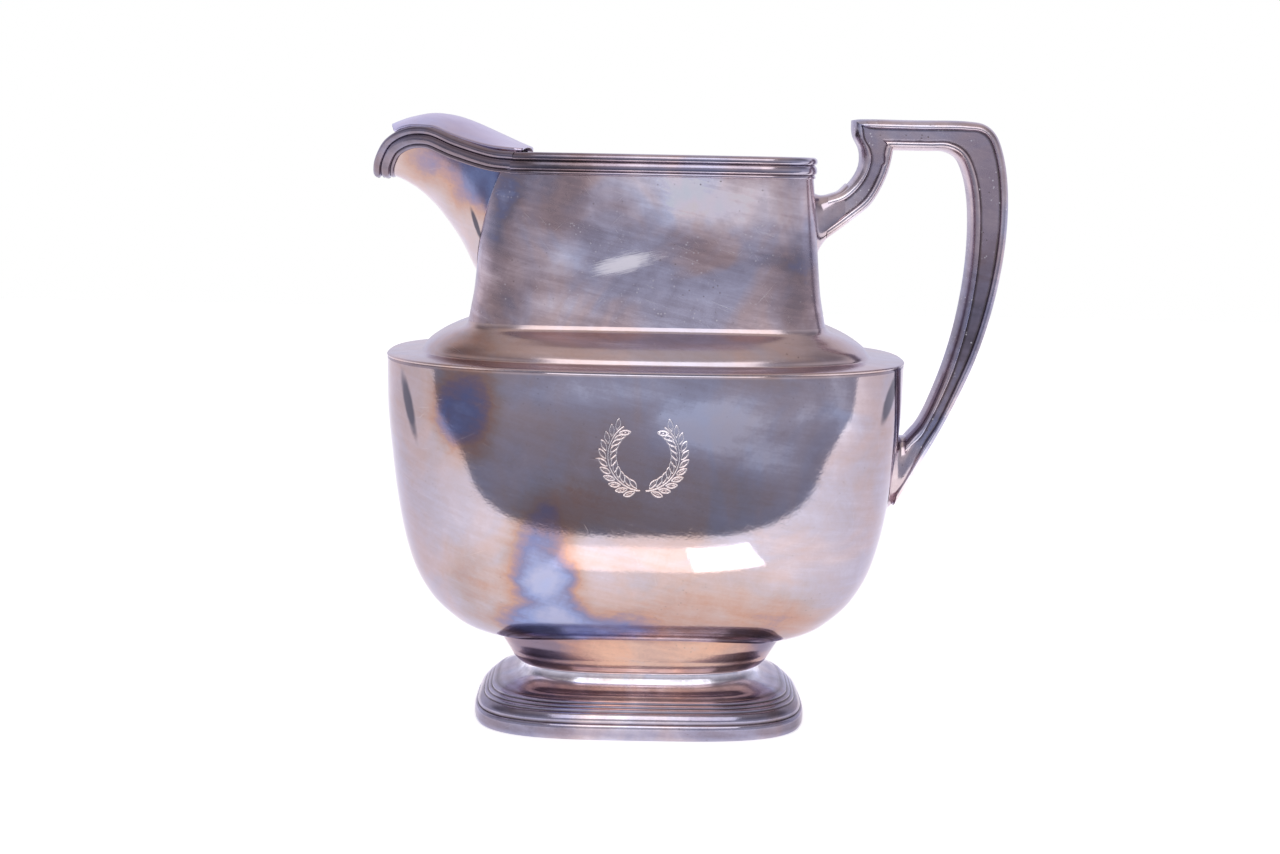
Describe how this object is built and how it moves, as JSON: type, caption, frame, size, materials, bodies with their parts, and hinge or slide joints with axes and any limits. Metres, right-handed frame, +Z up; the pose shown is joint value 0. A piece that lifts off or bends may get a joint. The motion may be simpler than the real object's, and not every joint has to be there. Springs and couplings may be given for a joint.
{
  "type": "water pitcher",
  "caption": "Footed oval metal water pitcher with a rectangular neck, beak spout with an ice guard, reeded rim and a squared loop handle.",
  "frame": {"origin": "middle of the foot's underside, on the table", "axes": "+X towards the handle, -X towards the spout, +Z up, Y across"},
  "size_m": [0.2172, 0.1276, 0.2085],
  "materials": {
    "silver_body": "polished silver plate, lightly tarnished and scratched",
    "silver_bright": "polished silver plate",
    "silver_trim": "reeded silver plate, darkened in the grooves",
    "silver_handle": "silver plate, tarnished in the recessed panels",
    "silver_foot": "polished silver plate with a darkened moulding"
  },
  "bodies": {
    "root": {"bowl": "silver_body", "shoulder": "silver_body", "neck": "silver_body", "spout": "silver_body", "ice_guard": "silver_bright", "rim_moulding": "silver_trim", "lip_moulding": "silver_trim", "handle_near_half": "silver_handle", "handle_far_half": "silver_handle", "upper_socket": "silver_handle", "lower_socket": "silver_handle", "foot_collar": "silver_foot", "foot_base": "silver_foot", "foot_wire": "silver_foot"}
  },
  "joints": []
}
